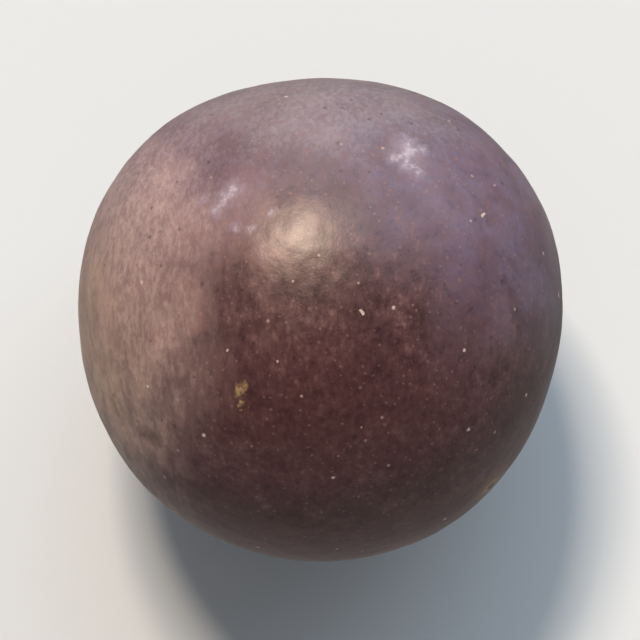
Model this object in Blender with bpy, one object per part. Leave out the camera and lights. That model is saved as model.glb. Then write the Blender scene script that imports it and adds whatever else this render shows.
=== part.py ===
"""A ripe purple passion fruit, lying on the small flat spot that its own weight presses.

Units are metres and +Z is up. The fruit is one closed solid: a round, slightly lobed body with a short
stub of stem at one end and a low blossom point at the other. It lies on its side. The origin is on the
surface that it lies on, under the middle of the body.
"""

from cmath import rect
from math import exp, radians

import bmesh
import bpy
from mathutils import Vector

NODE_NAME = "passion_fruit"

# The body
BODY_RADIUS = 0.0257  # mean radius seen from above
HEIGHT_SHARE = 0.982  # the upright radius against the one seen from above
REST_SPOT_RADIUS = 0.0056  # of the flat that the fruit lies on
PLAN_LOBES = (  # waves round the outline seen from above: count, share of the radius, crest angle
    (2, 0.010, radians(42)),
    (3, 0.015, radians(30)),
    (4, 0.009, radians(42)),
)

# The two ends, which face nearly opposite ways
STEM_AXIS = Vector((-0.66, 0.66, -0.36)).normalized()
BLOSSOM_AXIS = Vector((0.68, -0.71, 0.13)).normalized()
LENGTH_SHARE = 0.012  # how much longer the fruit is along its stem axis
CARPEL_SHARE = 0.006  # the three faint ribs that run from end to end
STEM_DISH_DEPTH = 0.0007  # the shallow dish round the stub
STEM_DISH_SPREAD = radians(15)
BLOSSOM_HEIGHT = 0.0002  # the low point at the other end
BLOSSOM_SPREAD = radians(4.5)

# The stub of stem: its height over the skin and its diameter, from its flared foot to its torn end
STUB_PROFILE = (
    (0.0003, 0.0034),
    (0.0008, 0.0028),
    (0.0015, 0.0026),
    (0.0021, 0.0028),
    (0.0024, 0.0022),
)
STUB_LEAN = 0.0004  # how far its end bends upwards

# The mesh
MERIDIANS = 64
PARALLELS = 40
SHARP_ANGLE = radians(35)
MERGE_DISTANCE = 0.00002

# The skin
SKIN_COLOUR = (0.105, 0.052, 0.058, 1.0)
SKIN_ROUGHNESS = 0.42


def clear_scene():
    for thing in list(bpy.data.objects):
        bpy.data.objects.remove(thing, do_unlink=True)


def wave(east, north, count, crest):
    """A smooth wave with count crests round an axis, from -1 to 1 on its equator and 0 on the axis."""
    return (complex(east, north) ** count * rect(1.0, -count * crest)).real


def fading(angle, spread):
    """1 at an end of the fruit, and nearly 0 from twice the spread on."""
    return exp(-((angle / spread) ** 2))


def skin_distance(direction):
    """How far the skin is from the body's centre along a unit direction."""
    share = 1.0
    for count, size, crest in PLAN_LOBES:
        share += size * wave(direction.x, direction.y, count, crest)
    along = direction.dot(STEM_AXIS)
    share += LENGTH_SHARE * (1.5 * along**2 - 0.5)
    side = STEM_AXIS.orthogonal().normalized()
    share += CARPEL_SHARE * wave(direction.dot(side), direction.dot(STEM_AXIS.cross(side)), 3, 0.0)
    dish = STEM_DISH_DEPTH * fading(direction.angle(STEM_AXIS), STEM_DISH_SPREAD)
    point = BLOSSOM_HEIGHT * fading(direction.angle(BLOSSOM_AXIS), BLOSSOM_SPREAD)
    return BODY_RADIUS * share - dish + point


def on_skin(direction):
    """The point of the skin along a unit direction, with the body's slight flatness."""
    place = direction * skin_distance(direction)
    place.z *= HEIGHT_SHARE
    return place


def add_body(bm):
    """A globe whose poles are the fruit's two ends, shaped into its body. Returns the face at the stem."""
    bmesh.ops.create_uvsphere(bm, u_segments=MERIDIANS, v_segments=PARALLELS, radius=1.0)
    for face in bm.faces:
        face.smooth = True
    pole = max(bm.verts, key=lambda vert: vert.co.z)
    rim = {edge.other_vert(pole) for edge in pole.link_edges}
    bmesh.ops.dissolve_verts(bm, verts=[pole])
    end_face = next(face for face in bm.faces if rim <= set(face.verts))
    turn = Vector((0, 0, 1)).rotation_difference(STEM_AXIS)
    for vert in bm.verts:
        vert.co = on_skin((turn @ vert.co).normalized())
    return end_face


def add_stub(bm, end_face):
    """The stub of stem, drawn out of the face at the stem end ring by ring."""
    foot = on_skin(STEM_AXIS)
    axis = foot.normalized()
    tallest = STUB_PROFILE[-1][0]
    for height, width in STUB_PROFILE:
        lean = Vector((0, 0, STUB_LEAN)) * (height / tallest) ** 2
        centre = foot + axis * height + lean
        end_face = bmesh.ops.extrude_discrete_faces(bm, faces=[end_face])["faces"][0]
        for vert in end_face.verts:
            outward = vert.co - foot
            outward -= axis * outward.dot(axis)
            vert.co = centre + outward.normalized() * width / 2


def press_rest_spot(bm):
    """Cuts the body level where it lies, and sets it down on z = 0 with its middle over the origin."""
    lowest = min(vert.co.z for vert in bm.verts)
    depth = BODY_RADIUS - (BODY_RADIUS**2 - REST_SPOT_RADIUS**2) ** 0.5
    floor = lowest + depth * HEIGHT_SHARE
    cut = bmesh.ops.bisect_plane(
        bm,
        geom=bm.verts[:] + bm.edges[:] + bm.faces[:],
        dist=MERGE_DISTANCE,
        plane_co=(0, 0, floor),
        plane_no=(0, 0, -1),
        use_snap_center=True,
        clear_outer=True,
    )
    rim = [piece for piece in cut["geom_cut"] if isinstance(piece, bmesh.types.BMEdge)]
    rest_face = bmesh.ops.edgeloop_fill(bm, edges=rim)["faces"][0]
    rest_face.smooth = False
    east = [vert.co.x for vert in bm.verts]
    north = [vert.co.y for vert in bm.verts]
    middle = Vector(((min(east) + max(east)) / 2, (min(north) + max(north)) / 2, floor))
    bmesh.ops.translate(bm, verts=bm.verts, vec=-middle)


def skin_material():
    material = bpy.data.materials.new("ripe_skin")
    material.use_nodes = True
    shader = material.node_tree.nodes["Principled BSDF"]
    shader.inputs["Base Color"].default_value = SKIN_COLOUR
    shader.inputs["Roughness"].default_value = SKIN_ROUGHNESS
    shader.inputs["Metallic"].default_value = 0.0
    return material


def add_fruit():
    bm = bmesh.new()
    end_face = add_body(bm)
    add_stub(bm, end_face)
    press_rest_spot(bm)
    bmesh.ops.recalc_face_normals(bm, faces=bm.faces)
    mesh = bpy.data.meshes.new(NODE_NAME)
    bm.to_mesh(mesh)
    bm.free()
    mesh.set_sharp_from_angle(angle=SHARP_ANGLE)
    mesh.materials.append(skin_material())
    fruit = bpy.data.objects.new(NODE_NAME, mesh)
    bpy.context.scene.collection.objects.link(fruit)
    return fruit


clear_scene()
add_fruit()
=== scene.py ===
"""The looks of a ripe purple passion fruit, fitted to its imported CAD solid.

One fine mesh replaces the plain solid: a lobed body with soft undulations, a torn stub of stem in its
dish and a low blossom point, under a procedural skin. Units are metres, +Z is up, and the fruit lies on
z = 0 with its stem end towards -X and +Y.
"""

from math import cos, pi, radians, sin

import bpy
import numpy as np
from mathutils import Matrix, Vector, noise


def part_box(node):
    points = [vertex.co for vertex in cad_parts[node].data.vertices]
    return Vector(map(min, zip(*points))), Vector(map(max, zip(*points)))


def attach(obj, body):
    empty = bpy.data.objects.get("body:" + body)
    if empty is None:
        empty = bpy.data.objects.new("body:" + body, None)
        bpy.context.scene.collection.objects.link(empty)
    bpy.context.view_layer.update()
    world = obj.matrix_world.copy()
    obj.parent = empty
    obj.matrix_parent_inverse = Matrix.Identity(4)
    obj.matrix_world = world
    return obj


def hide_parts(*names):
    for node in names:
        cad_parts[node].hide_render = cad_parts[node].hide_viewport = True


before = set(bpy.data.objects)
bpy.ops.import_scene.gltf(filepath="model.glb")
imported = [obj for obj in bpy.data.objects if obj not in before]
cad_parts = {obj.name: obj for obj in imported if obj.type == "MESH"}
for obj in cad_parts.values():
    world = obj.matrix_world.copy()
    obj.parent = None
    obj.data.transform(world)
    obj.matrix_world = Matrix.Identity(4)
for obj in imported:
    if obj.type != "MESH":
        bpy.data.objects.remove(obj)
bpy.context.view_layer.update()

CAD_NODE = "passion_fruit"
BODY = "root"
MM = 0.001

# The body, as the CAD solid has it
BODY_RADIUS = 25.7 * MM  # mean radius seen from above
HEIGHT_SHARE = 0.982  # the upright radius against the one seen from above
REST_SPOT_RADIUS = 5.6 * MM
REST_SOFTNESS = 0.06 * MM  # of the flat's edge
PLAN_LOBES = (  # waves round the outline seen from above: count, share of the radius, crest angle
    (2, 0.010, radians(42)),
    (3, 0.015, radians(30)),
    (4, 0.009, radians(42)),
)
STEM_AXIS = Vector((-0.66, 0.66, -0.36)).normalized()
BLOSSOM_AXIS = Vector((0.68, -0.71, 0.13)).normalized()
LENGTH_SHARE = 0.012  # how much longer the fruit is along its stem axis
CARPEL_SHARE = 0.006  # the three faint ribs that run from end to end
STEM_DISH_DEPTH = 0.7 * MM
STEM_DISH_SPREAD = radians(15)
BLOSSOM_HEIGHT = 0.2 * MM
BLOSSOM_SPREAD = radians(4.5)

# Gentle undulations of the rind: their height, their length, and the octaves and seed of their noise
SWELLS = (
    (0.16 * MM, 13 * MM, 2, 3.1),
    (0.04 * MM, 3.2 * MM, 3, 8.4),
)

# Shallow dents where it was pressed: the way each faces, its depth and its spread
DENTS = (
    ((-0.30, 0.80, -0.40), 0.30 * MM, radians(10)),
    ((0.82, 0.34, -0.40), 0.24 * MM, radians(9)),
    ((0.30, -0.80, -0.45), 0.28 * MM, radians(11)),
    ((-0.86, -0.30, -0.40), 0.22 * MM, radians(8)),
    ((0.70, 0.58, 0.10), 0.14 * MM, radians(7)),
)

# The mesh: a cube blown up to a globe, with one side's middle on the stem end
STEPS = 128  # quads along each edge of the cube
BAKE_MAP = "OFBake"
MAP_MARGIN = 0.006  # of a patch's width

# The stub of stem. The mesh round the stem end is drawn together to hold it. Each row: the angle from
# the axis on the even globe, how far from the axis that ring ends up and how high above the skin, in mm
STUB_RINGS = (
    (0.0, 0.0, 1.95),
    (2.0, 0.55, 2.05),
    (4.0, 1.05, 2.25),
    (5.5, 1.32, 2.15),
    (7.5, 1.28, 1.55),
    (10.0, 1.25, 0.95),
    (12.5, 1.42, 0.42),
    (15.0, 1.95, 0.10),
    (18.0, 2.90, 0.0),
    (24.0, 5.60, 0.0),
    (34.0, 11.5, 0.0),
    (46.0, 20.2, 0.0),
)

# The skin's relief and gloss
DIMPLE_HEIGHT = 0.06  # in mm, like the next two
GRAIN_HEIGHT = 0.03
CRUST_HEIGHT = 0.025  # of lenticels, pale marks and scars
SHEEN = 0.07
SHEEN_ROUGHNESS = 0.45
COAT = 0.3
COAT_ROUGHNESS = 0.28

# Marks on the skin. Each row: the way it faces from the body's centre, then its strokes. A stroke is its
# half-width and the points that it runs through, in mm to the right and upwards from the row's place as
# seen from outside. Upwards is towards the back, and towards the top on the front and back.
PALE_MARKS = (
    (  # a star
        (0.35, 0.53, 0.77),
        (0.60, (0.1, 0.9), (-0.1, -0.1)),
        (0.42, (-0.1, 0.0), (-0.6, -1.7)),
        (0.30, (-0.3, 0.0), (-1.8, -0.8)),
        (0.32, (0.2, 0.3), (1.7, 0.6)),
        (0.26, (0.2, 1.0), (0.5, 2.2)),
        (0.28, (0.2, -1.9), (0.5, -2.8)),
    ),
    (  # a slanting one, with a speck beside it
        (-0.38, 0.34, 0.86),
        (0.44, (0.5, 0.8), (-0.1, -0.1)),
        (0.34, (-0.1, -0.1), (-0.9, -1.6)),
        (0.24, (-2.6, 0.0)),
    ),
    # specks
    ((-0.34, 0.20, 0.92), (0.24, (0.0, 0.0)), (0.18, (1.5, -0.3), (2.0, -0.1))),
    ((-0.20, 0.26, 0.94), (0.18, (0.0, 0.0), (0.3, 0.2))),
)
SCARS = (  # corky and tan
    ((-0.32, -0.46, 0.83), (0.50, (0.2, 0.9), (0.1, 0.2)), (0.30, (0.1, 0.2), (-0.2, -1.3))),
    ((-0.83, -0.44, 0.35), (0.24, (0.0, 0.8), (-0.2, -0.5)), (0.16, (0.8, 1.4))),
    ((-0.96, -0.31, -0.05), (0.30, (0.0, 0.3), (0.2, -0.4))),
    (
        (0.30, -0.92, -0.02),
        (0.24, (-3.0, -0.2), (-1.2, 0.3), (0.6, 0.1), (2.6, 0.7)),
        (0.42, (0.9, 0.2)),
    ),
    ((-0.45, -0.80, -0.35), (0.75, (-0.3, 0.2), (0.4, -0.3))),
    ((0.88, 0.12, -0.35), (0.22, (-0.2, 2.0), (0.4, 0.6), (0.1, -1.4)), (0.18, (0.3, 0.4), (1.6, 1.0))),
    ((0.55, 0.75, -0.20), (0.5, (0.0, 0.2), (0.5, -0.2)), (0.18, (-1.8, 0.9), (-1.2, 0.2))),
    ((-0.93, 0.30, -0.12), (0.20, (-1.6, 0.8), (-0.4, 0.2), (0.9, 0.4), (1.9, -0.2))),
    ((-0.20, 0.96, -0.10), (0.26, (-0.8, -0.4), (0.2, 0.0), (1.0, -0.7))),
)
DARK_MARKS = (  # dark
    # a dark patch on the front's lower left
    ((-0.69, -0.56, 0.46), (0.9, (-0.8, 0.3), (0.6, -0.5)), (0.5, (0.9, -1.3))),
    ((-0.06, 0.19, 0.98), (0.22, (0.0, 0.6)), (0.26, (0.3, -0.3))),
    ((0.93, -0.20, 0.05), (0.18, (-1.4, 0.6), (-0.6, 1.3), (0.5, 1.3), (1.3, 0.5), (1.4, -0.5))),
    ((0.10, 0.90, -0.35), (0.6, (-0.5, 0.3), (0.7, 0.0)), (0.35, (1.6, -0.9))),
    ((-0.10, -0.93, -0.35), (0.5, (0.0, 0.4), (0.3, -0.5)), (0.25, (-1.3, 0.8))),
)
PINPRICKS = (  # nearly white
    ((0.29, -0.13, 0.95), (0.20, (0, 0))),
    ((0.57, -0.27, 0.77), (0.19, (0, 0))),
    ((0.59, -0.56, 0.59), (0.24, (0, 0))),
    ((0.05, -0.76, 0.65), (0.20, (0, 0))),
    ((0.17, -0.16, 0.97), (0.14, (0, 0), (-0.3, 0.4))),
    ((-0.17, -0.34, 0.92), (0.16, (0, 0))),
    ((-0.37, -0.29, 0.88), (0.18, (0, 0))),
    ((-0.46, -0.59, 0.66), (0.20, (0, 0))),
    ((-0.72, 0.02, 0.69), (0.20, (0, 0))),
    ((0.64, 0.28, 0.72), (0.16, (0, 0), (0.4, 0.3))),
    ((0.83, -0.39, 0.40), (0.20, (0, 0))),
    ((-0.14, 0.82, 0.55), (0.22, (0, 0))),
    ((-0.69, -0.39, 0.61), (0.20, (0, 0))),
    ((0.50, -0.85, 0.15), (0.22, (0, 0))),
    ((-0.25, -0.95, 0.10), (0.20, (0, 0))),
    ((0.95, 0.05, 0.25), (0.24, (0, 0), (0.3, -0.2))),
    ((0.80, 0.55, -0.15), (0.20, (0, 0))),
    ((-0.55, 0.80, 0.20), (0.22, (0, 0))),
    ((-0.95, 0.20, 0.20), (0.20, (0, 0))),
    ((0.20, 0.95, -0.20), (0.22, (0, 0))),
)

# The stage
VIEW_ELEVATION = radians(80)
VIEW_DISTANCE = 0.46
FRUIT_SHARE = 0.76  # of the picture's width
SENSOR_WIDTH = 36.0
FLOOR_RADIUS = 4.0
FLOOR_COLOUR = (0.744, 0.874, 0.985, 1)
BACKDROP_COLOUR = (0.839, 0.829, 0.811, 1)
FILL_COLOUR = (1.0, 0.92, 0.88, 1)
FILL_STRENGTH = 0.2
LAMP_COLOUR = (1.0, 0.76, 0.58)
WINDOW_COLOUR = (0.88, 0.94, 1.0)


# --- The shape -----------------------------------------------------------------------------------------


def wave(east, north, count, crest):
    """A smooth wave with count crests round an axis, from -1 to 1 on its equator and 0 on the axis."""
    return ((east + 1j * north) ** count * np.exp(-1j * count * crest)).real


def fading(directions, axis, spread):
    """1 where a direction meets the axis, and nearly 0 from twice the spread on."""
    angle = np.arccos(np.clip(directions @ np.array(axis), -1.0, 1.0))
    return np.exp(-((angle / spread) ** 2))


def on_skin(directions):
    """The CAD solid's skin along unit directions from the body's centre."""
    side = np.array(STEM_AXIS.orthogonal().normalized())
    across = np.cross(np.array(STEM_AXIS), side)
    share = np.ones(len(directions))
    for count, size, crest in PLAN_LOBES:
        share += size * wave(directions[:, 0], directions[:, 1], count, crest)
    share += LENGTH_SHARE * (1.5 * (directions @ np.array(STEM_AXIS)) ** 2 - 0.5)
    share += CARPEL_SHARE * wave(directions @ side, directions @ across, 3, 0.0)
    dish = STEM_DISH_DEPTH * fading(directions, STEM_AXIS, STEM_DISH_SPREAD)
    point = BLOSSOM_HEIGHT * fading(directions, BLOSSOM_AXIS, BLOSSOM_SPREAD)
    places = directions * (BODY_RADIUS * share - dish + point)[:, None]
    places[:, 2] *= HEIGHT_SHARE
    return places


def globe(steps):
    """A cube's six gridded sides blown up to a globe: directions, faces and a map of six patches."""
    row, column = np.meshgrid(np.arange(steps + 1), np.arange(steps + 1), indexing="ij")
    lattices, maps = [], []
    for side in range(6):
        axis, far = side % 3, side // 3
        lattice = np.empty((steps + 1, steps + 1, 3), int)
        lattice[..., axis] = far * steps
        lattice[..., (axis + 1) % 3] = column if far else row
        lattice[..., (axis + 2) % 3] = row if far else column
        lattices.append(lattice.reshape(-1, 3))
        inner = MAP_MARGIN + (1 - 2 * MAP_MARGIN) * np.stack([column, row], -1) / steps
        maps.append((inner + (axis, far)).reshape(-1, 2) / (3, 2))
    lattice, of_corner = np.unique(np.concatenate(lattices), axis=0, return_inverse=True)
    directions = np.tan(pi / 4 * (2 * lattice / steps - 1))
    directions /= np.linalg.norm(directions, axis=1, keepdims=True)
    start = (np.arange(steps)[:, None] * (steps + 1) + np.arange(steps)).reshape(-1, 1)
    quads = start + np.array([0, 1, steps + 2, steps + 1])
    quads = np.concatenate([quads + side * (steps + 1) ** 2 for side in range(6)])
    return directions, of_corner.reshape(-1)[quads], np.concatenate(maps)[quads]


def facing_stem():
    """The turn that puts the globe's +X side on the stem end, and its +Z side as near the top."""
    up = Vector((0, 0, 1))
    up = (up - STEM_AXIS * up.dot(STEM_AXIS)).normalized()
    return np.array(Matrix((STEM_AXIS, up.cross(STEM_AXIS), up)))


def smooth_track(at, knots, values):
    """A curve through the knots that never overshoots them."""
    width = np.diff(knots)
    slope = np.diff(values) / width
    product, total = slope[1:] * slope[:-1], slope[1:] + slope[:-1]
    inner = np.where(product > 0, 2 * product / np.where(total == 0, 1, total), 0.0)
    tangent = np.concatenate([slope[:1], inner, slope[-1:]])
    piece = np.clip(np.searchsorted(knots, at) - 1, 0, len(width) - 1)
    t = (at - knots[piece]) / width[piece]
    return (
        (2 * t**3 - 3 * t**2 + 1) * values[piece]
        + (3 * t**2 - 2 * t**3) * values[piece + 1]
        + (t**3 - 2 * t**2 + t) * tangent[piece] * width[piece]
        + (t**3 - t**2) * tangent[piece + 1] * width[piece]
    )


def draw_in_stub(directions):
    """Draws the globe's rings together round the stem end.

    Returns the new directions, how far each is from the stem's axis and its height above the skin.
    """
    stem = np.array(STEM_AXIS)
    along = np.clip(directions @ stem, -1.0, 1.0)
    across = directions - along[:, None] * stem
    across /= np.maximum(np.linalg.norm(across, axis=1, keepdims=True), 1e-12)
    polar = np.arccos(along)
    angle, reach, lift = np.array(STUB_RINGS).T * ((pi / 180,), (MM,), (MM,))
    near = np.minimum(polar, angle[-1])
    reach = np.where(polar < angle[-1], smooth_track(near, angle, reach), polar * BODY_RADIUS)
    lift = smooth_track(near, angle, lift)
    drawn = (reach / BODY_RADIUS)[:, None]
    return stem * np.cos(drawn) + across * np.sin(drawn), reach, lift


def noise_at(places, size, octaves, seed):
    """Blender's fractal noise at each place, with features of about this size, from about -1 to 1."""
    shift = Vector((seed, -1.7 * seed, 2.3 * seed))
    return np.array(
        [noise.fractal(Vector(p) + shift, 0.9, 2.1, octaves) for p in (places / size).tolist()]
    )


def find_centre(plain):
    """Where the body's centre is when its rest spot is pressed and it fills the CAD node's box."""
    pressed = HEIGHT_SHARE * (BODY_RADIUS - (BODY_RADIUS**2 - REST_SPOT_RADIUS**2) ** 0.5)
    low = plain.min(axis=0) + (0, 0, pressed)
    return np.array(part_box(CAD_NODE)[0]) - low


def press_flat(places):
    """Flattens the underside on the floor, with a soft edge."""
    height = places[:, 2]
    places[:, 2] = (height + np.hypot(height, REST_SOFTNESS)) / 2


def make_fruit():
    """The fruit's mesh object and its body's centre."""
    directions, faces, corners = globe(STEPS)
    directions, reach, lift = draw_in_stub(directions @ facing_stem())
    plain = on_skin(directions)
    centre = find_centre(plain)
    swell = sum(height * noise_at(plain, *pattern) for height, *pattern in SWELLS)
    for facing, depth, spread in DENTS:
        swell -= depth * fading(directions, Vector(facing).normalized(), spread)
    places = centre + plain + directions * (lift + swell)[:, None]
    press_flat(places)
    mesh = bpy.data.meshes.new("fruit")
    mesh.from_pydata(places.tolist(), [], faces.tolist())
    mesh.uv_layers.new(name=BAKE_MAP).uv.foreach_set("vector", corners.astype(np.float32).ravel())
    for name, values in (("reach", reach / MM), ("lift", lift / MM)):  # for the stem end's colours
        mesh.attributes.new(name, "FLOAT", "POINT").data.foreach_set("value", values.astype(np.float32))
    mesh.shade_smooth()
    fruit = bpy.data.objects.new("fruit", mesh)
    bpy.context.scene.collection.objects.link(fruit)
    return fruit, Vector(centre)


# --- The skin ------------------------------------------------------------------------------------------


def colour(red, green, blue):
    """A colour given as 0 to 255 values on a screen, as the linear colour that shaders use."""
    shares = [value / 255 for value in (red, green, blue)]
    return (*(v / 12.92 if v <= 0.04045 else ((v + 0.055) / 1.055) ** 2.4 for v in shares), 1.0)


class Painter:
    """Adds nodes to a material and joins masks and colours into a skin. Lengths are in millimetres."""

    def __init__(self, tree, centre):
        self.tree = tree
        self.here = self.vector("MULTIPLY", self.add("TexCoord").outputs["Object"], (1000, 1000, 1000))
        outward = self.vector("NORMALIZE", self.vector("SUBTRACT", self.here, centre / MM))
        self.outward = outward
        self.on_ball = self.vector("MULTIPLY", outward, [BODY_RADIUS / MM] * 3)
        self.skin = None

    def add(self, kind, inputs=(), **settings):
        """A node of this kind. inputs gives its inputs' names or numbers a socket or a plain value."""
        node = self.tree.nodes.new("ShaderNode" + kind)
        for name, value in settings.items():
            setattr(node, name, value)
        for key, value in dict(inputs).items():
            if isinstance(value, bpy.types.NodeSocket):
                self.tree.links.new(value, node.inputs[key])
            else:
                node.inputs[key].default_value = value
        return node

    def math(self, operation, *values, clamp=False):
        return self.add("Math", enumerate(values), operation=operation, use_clamp=clamp).outputs[0]

    def vector(self, operation, *values):
        node = self.add("VectorMath", enumerate(values), operation=operation)
        measures = ("DOT_PRODUCT", "LENGTH", "DISTANCE")
        return node.outputs["Value" if operation in measures else "Vector"]

    def between(self, value, low, high, to_low=0.0, to_high=1.0):
        """Eases from to_low to to_high while the value goes from low to high."""
        inputs = {"Value": value, "From Min": low, "From Max": high, "To Min": to_low, "To Max": to_high}
        return self.add("MapRange", inputs, interpolation_type="SMOOTHSTEP").outputs["Result"]

    def joined(self, operation, values):
        result = values[0]
        for value in values[1:]:
            result = self.math(operation, result, value)
        return result

    def all_of(self, *masks):
        return self.joined("MULTIPLY", masks)

    def most_of(self, *masks):
        return self.joined("MAXIMUM", masks)

    def attribute(self, name):
        return self.add("Attribute", attribute_name=name).outputs["Fac"]

    def noise(self, size, detail=2.0, rough=0.5, seed=0.0, warp=0.0, stretch=(1, 1, 1)):
        """Noise with features of about this size, mostly from 0.25 to 0.75. stretch lengthens them."""
        inputs = {
            "Vector": self.vector("DIVIDE", self.here, stretch),
            "W": seed,
            "Scale": 1 / size,
            "Detail": detail,
            "Roughness": rough,
            "Distortion": warp,
        }
        return self.add("TexNoise", inputs, noise_dimensions="4D").outputs["Fac"]

    def specks(self, spacing, radius, share, seed, soft=0.5):
        """Round specks of uneven sizes up to this radius, in this share of cells of this spacing."""
        place = self.vector("ADD", self.here, (seed * 7.3, seed * 3.1, seed * 5.7))
        cells = self.add("TexVoronoi", {"Vector": place, "Scale": 1 / spacing})
        chance = self.add("SeparateColor", {"Color": cells.outputs["Color"]})
        there = self.math("LESS_THAN", chance.outputs["Red"], share)
        size = self.between(chance.outputs["Green"], 0.0, 1.0, 0.35 * radius / spacing, radius / spacing)
        inner = self.math("MULTIPLY", size, 1 - soft)
        return self.math("MULTIPLY", there, self.between(cells.outputs["Distance"], size, inner))

    def side(self, direction, full, none, wobble):
        """1 on the side of the fruit that faces this way, fading from full to none degrees off it."""
        way = Vector(direction).normalized()
        facing = self.math("ADD", self.vector("DOT_PRODUCT", self.outward, way), wobble)
        return self.between(facing, cos(radians(none)), cos(radians(full)))

    def warped(self, size, amount, seed):
        """Places on the ball moved about by noise, so that what is drawn there has an uneven outline."""
        inputs = {"Vector": self.here, "W": seed, "Scale": 1 / size, "Detail": 3.0, "Roughness": 0.7}
        drift = self.add("TexNoise", inputs, noise_dimensions="4D").outputs["Color"]
        drift = self.vector("MULTIPLY_ADD", drift, [amount] * 3, [-amount / 2] * 3)
        return self.vector("ADD", self.on_ball, drift)

    def from_stroke(self, place, start, end, width):
        """How far a place is from a straight stroke on the ball, in half-widths."""
        way = end - start
        if way.length < 0.01:
            return self.math("DIVIDE", self.vector("DISTANCE", place, start), width)
        pace = way / way.length_squared
        along = self.vector("DOT_PRODUCT", place, pace)
        along = self.math("SUBTRACT", along, start.dot(pace), clamp=True)
        nearest = self.vector("MULTIPLY_ADD", along, way, start)
        return self.math("DIVIDE", self.vector("DISTANCE", place, nearest), width)

    def from_marks(self, place, table):
        """How far a place is from the nearest stroke of a table of marks, in half-widths."""
        distances = [
            self.from_stroke(place, local_place(facing, start), local_place(facing, end), width)
            for facing, *strokes in table
            for width, *points in strokes
            for start, end in zip(points, points[1:] or points)
        ]
        return self.joined("MINIMUM", distances)

    def ramp(self, value, *stops):
        """Blends through (position, colour) stops."""
        node = self.add("ValToRGB", {"Fac": value})
        elements = node.color_ramp.elements
        while len(elements) < len(stops):
            elements.new(0.5)
        for element, (position, shade) in zip(elements, stops):
            element.position = position
            element.color = shade
        return node.outputs["Color"]

    def paint(self, mask, over, strength=1.0, mode="MIX"):
        """Lays a colour over the skin where the mask is."""
        inputs = {0: self.math("MULTIPLY", mask, strength), 6: self.skin, 7: over}
        self.skin = self.add("Mix", inputs, data_type="RGBA", blend_type=mode).outputs[2]


def local_place(facing, offset):
    """A place on the body's ball, in mm: where it faces this way, then this far right and up."""
    out = Vector(facing).normalized()
    up = Vector((0, 0, 1)) if abs(out.y) > 0.8 else Vector((0, 1, 0))
    up = (up - out * up.dot(out)).normalized()
    right = up.cross(out)
    radius = BODY_RADIUS / MM
    return (out * radius + right * offset[0] + up * offset[1]).normalized() * radius


def paint_ground(p):
    """Mottled wine-brown, darker and paler in turn. Returns the mottling and its streaks."""
    patches = p.noise(4.5, detail=2, rough=0.5, seed=2.0, warp=0.4)
    mottle = p.noise(1.2, detail=5, rough=0.72, seed=3.0, warp=0.3)
    strokes = p.noise(0.5, detail=4, rough=0.7, seed=5.0, stretch=(1, 2.6, 1.5))
    tone = p.math("MULTIPLY", patches, 0.26)
    tone = p.math("MULTIPLY_ADD", mottle, 0.42, tone)
    tone = p.math("MULTIPLY_ADD", strokes, 0.32, tone)
    p.skin = p.ramp(
        tone,
        (0.38, colour(52, 29, 33)),
        (0.46, colour(78, 51, 55)),
        (0.54, colour(97, 69, 72)),
        (0.62, colour(134, 102, 100)),
    )
    return mottle, strokes


def paint_front(p, wobble):
    """Wine red in front, partly painted shade; painted shade on the right; a paler brown patch near the
    top.
    """
    # darker wine red on the front and lower side, partly painted shade
    ruddy = p.side((0.10, -0.88, 0.38), 20, 72, wobble)
    # painted shade down the right side
    painted_shade = p.side((0.98, -0.12, 0.08), 6, 44, wobble)
    # a paler brown patch near the top, partly a painted glow round the highlight
    brown = p.side((-0.38, 0.16, 0.91), 4, 24, wobble)
    p.paint(ruddy, colour(76, 33, 35), 0.5)
    p.paint(painted_shade, colour(58, 36, 42), 0.5)
    p.paint(brown, colour(132, 100, 100), 0.4)


def paint_bloom_and_sheen(p, wobble, thin):
    """Plum and violet on the right and mauve to pale grey at the back: bloom, partly painted sheen.
    Returns its mask.
    """
    clouds = p.between(p.noise(5, detail=4, rough=0.6, seed=9.0, warp=0.5), 0.36, 0.62, 0.5, 1.0)
    # plum and violet on the right: partly bloom, partly a painted cool sheen
    plum = p.side((0.68, 0.16, 0.72), 4, 38, wobble)
    violet = p.side((0.62, 0.60, 0.51), 6, 57, wobble)
    mauve = p.side((-0.48, 0.72, 0.48), 4, 55, wobble)
    # pale grey at the back: partly lilac bloom, partly a painted reflection along the top rim
    grey = p.side((0.02, 0.91, 0.40), 4, 42, wobble)
    p.paint(p.all_of(plum, clouds), colour(114, 94, 110), 0.5)
    p.paint(p.all_of(violet, thin, clouds), colour(120, 110, 142), 0.85)
    p.paint(p.all_of(mauve, thin), colour(148, 132, 152), 0.7)
    p.paint(p.all_of(grey, thin), colour(158, 156, 162), 0.55)
    return p.most_of(violet, mauve, grey)


def paint_pale_sides(p, wobble, thin):
    """Streaky tan, partly painted light along the rim, and ochre on the left, and olive underneath."""
    lines = p.noise(1.1, detail=3, rough=0.6, seed=4.0, warp=0.3, stretch=(1, 4.5, 2.5))
    streaky = p.math("MULTIPLY_ADD", lines, 0.3, -0.15)
    streaky = p.math("ADD", wobble, streaky)
    # tan on the left: partly the skin's own tone, partly painted light along the left rim
    tan = p.side((-0.92, 0.03, 0.36), 4, 54, streaky)
    ochre = p.side((-0.97, -0.22, -0.08), 8, 54, streaky)
    olive = p.side((0.15, -0.30, -0.94), 12, 48, streaky)
    p.paint(p.all_of(tan, thin), colour(202, 178, 176), 0.78)
    p.paint(ochre, p.ramp(lines, (0.36, colour(132, 106, 88)), (0.6, colour(184, 156, 136))), 0.65)
    p.paint(olive, colour(118, 102, 68), 0.55)


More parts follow.
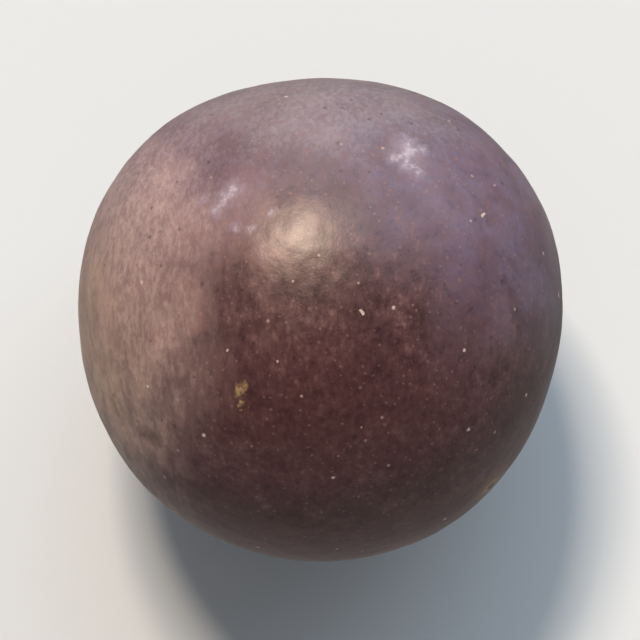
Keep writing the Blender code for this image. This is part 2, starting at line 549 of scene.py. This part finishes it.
def paint_sides(p, mottle, strokes):
    """The broad colours round the fruit, with dark mottling showing through. Returns the bloom and
    painted sheen.
    """
    wobble = p.math("MULTIPLY_ADD", p.noise(9, detail=3, rough=0.55, seed=1.0), 0.7, -0.35)
    calm = p.math("MULTIPLY", wobble, 0.5)
    thin = p.between(p.math("ADD", mottle, strokes), 1.18, 0.82, 0.4, 1.0)
    paint_front(p, wobble)
    bloom_and_painted_sheen = paint_bloom_and_sheen(p, calm, thin)
    paint_pale_sides(p, calm, thin)
    p.paint(p.between(mottle, 0.5, 0.32), colour(52, 30, 32), 0.35)
    return bloom_and_painted_sheen


def paint_specks(p):
    """Dark freckles, dust-like flecks and pale lenticels. Returns the lenticels."""
    freckles = p.specks(1.5, 0.34, 0.45, 1.0, soft=0.7)
    dust = p.specks(0.7, 0.24, 0.8, 3.0, soft=0.9)
    lenticels = p.specks(2.3, 0.30, 0.6, 2.0, soft=0.8)
    p.paint(freckles, colour(46, 26, 27), 0.5)
    p.paint(dust, colour(172, 142, 138), 0.32)
    p.paint(lenticels, colour(204, 178, 168), 0.65)
    return lenticels


def paint_marks(p):
    """Dark marks, pale marks, corky scars and bright pinpricks. Returns the pale marks and the scars."""
    loose = p.warped(1.0, 2.2, 11.0)
    worn = p.between(p.noise(0.55, detail=4, rough=0.8, seed=15.0), 0.34, 0.62)
    dark_mark = p.from_marks(loose, DARK_MARKS)
    p.paint(p.between(dark_mark, 1.6, 0.2), colour(46, 27, 25), 0.55)
    # pale marks, each with a faint pale halo round it
    pale_mark = p.from_marks(loose, PALE_MARKS)
    pale_marked = p.all_of(p.between(pale_mark, 1.7, 0.1), worn)
    p.paint(p.between(pale_mark, 4.5, 0.3), colour(172, 166, 190), 0.36)
    p.paint(pale_marked, colour(210, 204, 220), 0.62)
    scar = p.from_marks(loose, SCARS)
    scarred = p.between(scar, 1.3, 0.3)
    p.paint(p.between(scar, 2.4, 1.0), colour(66, 42, 34), 0.4)
    p.paint(scarred, p.ramp(worn, (0.2, colour(134, 106, 76)), (0.8, colour(186, 160, 116))), 0.8)
    prick = p.from_marks(p.warped(0.3, 0.5, 12.0), PINPRICKS)
    p.paint(p.between(prick, 1.3, 0.3), colour(230, 212, 206), 0.85)
    return pale_marked, scarred


def paint_ends(p):
    """The greenish collar and dry stub at the stem end, and the dark dot at the blossom end."""
    reach, lift = p.attribute("reach"), p.attribute("lift")
    fibres = p.noise(0.35, detail=3, rough=0.7, seed=21.0)
    from_stub = p.math("MULTIPLY_ADD", fibres, 2.4, reach)
    p.paint(p.between(from_stub, 8.5, 3.2), colour(128, 118, 84), 0.65)
    collar = p.between(from_stub, 3.9, 3.1)
    p.paint(collar, colour(150, 138, 92), 0.8)
    stalk = p.between(lift, 0.15, 0.5)
    p.paint(stalk, p.ramp(fibres, (0.35, colour(74, 62, 34)), (0.62, colour(136, 124, 74))))
    torn_end = p.all_of(p.between(lift, 1.75, 1.95), p.between(reach, 1.32, 1.1))
    p.paint(torn_end, p.ramp(fibres, (0.35, colour(120, 92, 60)), (0.65, colour(196, 172, 132))))

    blossom = BLOSSOM_AXIS * BODY_RADIUS / MM
    dot = p.from_stroke(p.warped(0.8, 1.2, 22.0), blossom, blossom, 1.0)
    p.paint(p.between(dot, 3.6, 0.8), colour(138, 112, 88), 0.5)
    p.paint(p.between(dot, 1.3, 0.9), colour(156, 130, 92), 0.6)
    p.paint(p.between(dot, 0.8, 0.45), colour(40, 26, 20), 0.95)
    return p.most_of(collar, stalk)


def skin_material(centre):
    """Dull wine-brown rind, ochre on one side and violet bloom with painted sheen on another, with pale
    lenticels.
    """
    material = bpy.data.materials.new("rind")
    material.use_nodes = True
    tree = material.node_tree
    shader = tree.nodes["Principled BSDF"]
    p = Painter(tree, centre)

    mottle, strokes = paint_ground(p)
    bloom_and_painted_sheen = paint_sides(p, mottle, strokes)
    lenticels = paint_specks(p)
    pale_marks, scars = paint_marks(p)
    corky = paint_ends(p)

    fine = p.noise(0.32, detail=3, rough=0.7, seed=6.0)
    dimples = p.noise(1.5, detail=1, seed=7.0)
    height = p.math("MULTIPLY_ADD", dimples, DIMPLE_HEIGHT, p.math("MULTIPLY", fine, GRAIN_HEIGHT))
    raised = p.most_of(lenticels, p.math("MULTIPLY", p.most_of(pale_marks, scars), p.noise(0.3, seed=8.0)))
    height = p.math("MULTIPLY_ADD", raised, CRUST_HEIGHT, height)
    bump = p.add("Bump", {"Height": height, "Distance": MM, "Strength": 1.0})

    roughness = p.between(mottle, 0.3, 0.7, 0.34, 0.42)
    roughness = p.math("MULTIPLY_ADD", bloom_and_painted_sheen, 0.06, roughness)
    roughness = p.math("MULTIPLY_ADD", p.most_of(pale_marks, scars, corky), 0.2, roughness)
    shader.inputs["Sheen Weight"].default_value = SHEEN
    shader.inputs["Sheen Roughness"].default_value = SHEEN_ROUGHNESS
    shader.inputs["Coat Weight"].default_value = COAT
    shader.inputs["Coat Roughness"].default_value = COAT_ROUGHNESS
    tree.links.new(p.skin, shader.inputs["Base Color"])
    tree.links.new(roughness, shader.inputs["Roughness"])
    tree.links.new(bump.outputs["Normal"], shader.inputs["Normal"])
    return material


# --- The stage -----------------------------------------------------------------------------------------


def add_camera():
    """Looks down at the fruit from the front, with its outline over three quarters of the picture."""
    low, high = map(Vector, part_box(CAD_NODE))
    middle = (low + high) / 2
    back = Vector((0, -cos(VIEW_ELEVATION), sin(VIEW_ELEVATION)))
    half_view = BODY_RADIUS / FRUIT_SHARE
    camera = bpy.data.objects.new("camera", bpy.data.cameras.new("camera"))
    camera.location = middle + back * VIEW_DISTANCE
    camera.rotation_euler = (-back).to_track_quat("-Z", "Y").to_euler()
    camera.data.sensor_width = SENSOR_WIDTH
    camera.data.lens = SENSOR_WIDTH / 2 * VIEW_DISTANCE / half_view
    bpy.context.scene.collection.objects.link(camera)
    bpy.context.scene.camera = camera


def add_sun(name, azimuth, elevation, strength, spread, tint):
    """A far light that shines from this azimuth (0 is +Y, 90 is +X) and elevation, in degrees."""
    a, e = radians(azimuth), radians(elevation)
    towards = Vector((sin(a) * cos(e), cos(a) * cos(e), sin(e)))
    light = bpy.data.lights.new(name, "SUN")
    light.energy = strength
    light.angle = radians(spread)
    light.color = tint
    sun = bpy.data.objects.new(name, light)
    sun.rotation_euler = towards.to_track_quat("Z", "Y").to_euler()
    bpy.context.scene.collection.objects.link(sun)


def add_floor():
    """A pale disc, faintly cool so that it looks white in the warm light."""
    mesh = bpy.data.meshes.new("floor")
    turns = [2 * pi * side / 96 for side in range(96)]
    rim = [(FLOOR_RADIUS * cos(turn), FLOOR_RADIUS * sin(turn), 0) for turn in turns]
    mesh.from_pydata(rim, [], [tuple(range(len(rim)))])
    material = bpy.data.materials.new("floor")
    material.use_nodes = True
    shader = material.node_tree.nodes["Principled BSDF"]
    shader.inputs["Base Color"].default_value = FLOOR_COLOUR
    shader.inputs["Roughness"].default_value = 1.0
    shader.inputs["Specular IOR Level"].default_value = 0.0
    mesh.materials.append(material)
    floor = bpy.data.objects.new("floor", mesh)
    bpy.context.scene.collection.objects.link(floor)
    floor.visible_glossy = False


def set_world():
    """Faint light from all round, as pale as the floor where the camera sees past the floor's edge."""
    world = bpy.data.worlds.new("world")
    world.use_nodes = True
    tree = world.node_tree
    dim = tree.nodes["Background"]
    dim.inputs["Color"].default_value = FILL_COLOUR
    dim.inputs["Strength"].default_value = FILL_STRENGTH
    pale = tree.nodes.new("ShaderNodeBackground")
    pale.inputs["Color"].default_value = BACKDROP_COLOUR
    seen = tree.nodes.new("ShaderNodeLightPath")
    either = tree.nodes.new("ShaderNodeMixShader")
    tree.links.new(seen.outputs["Is Camera Ray"], either.inputs[0])
    tree.links.new(dim.outputs[0], either.inputs[1])
    tree.links.new(pale.outputs[0], either.inputs[2])
    tree.links.new(either.outputs[0], tree.nodes["World Output"].inputs["Surface"])
    bpy.context.scene.world = world


bpy.context.scene.view_settings.view_transform = "Standard"
add_camera()
set_world()
add_floor()
add_sun("lamp_left", -27, 58, 1.35, 8, LAMP_COLOUR)
add_sun("lamp_right", -13, 58, 1.35, 8, LAMP_COLOUR)
add_sun("window", 22, 29, 1.45, 72, WINDOW_COLOUR)

fruit, body_centre = make_fruit()
fruit.data.materials.append(skin_material(body_centre))
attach(fruit, BODY)
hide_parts(CAD_NODE)
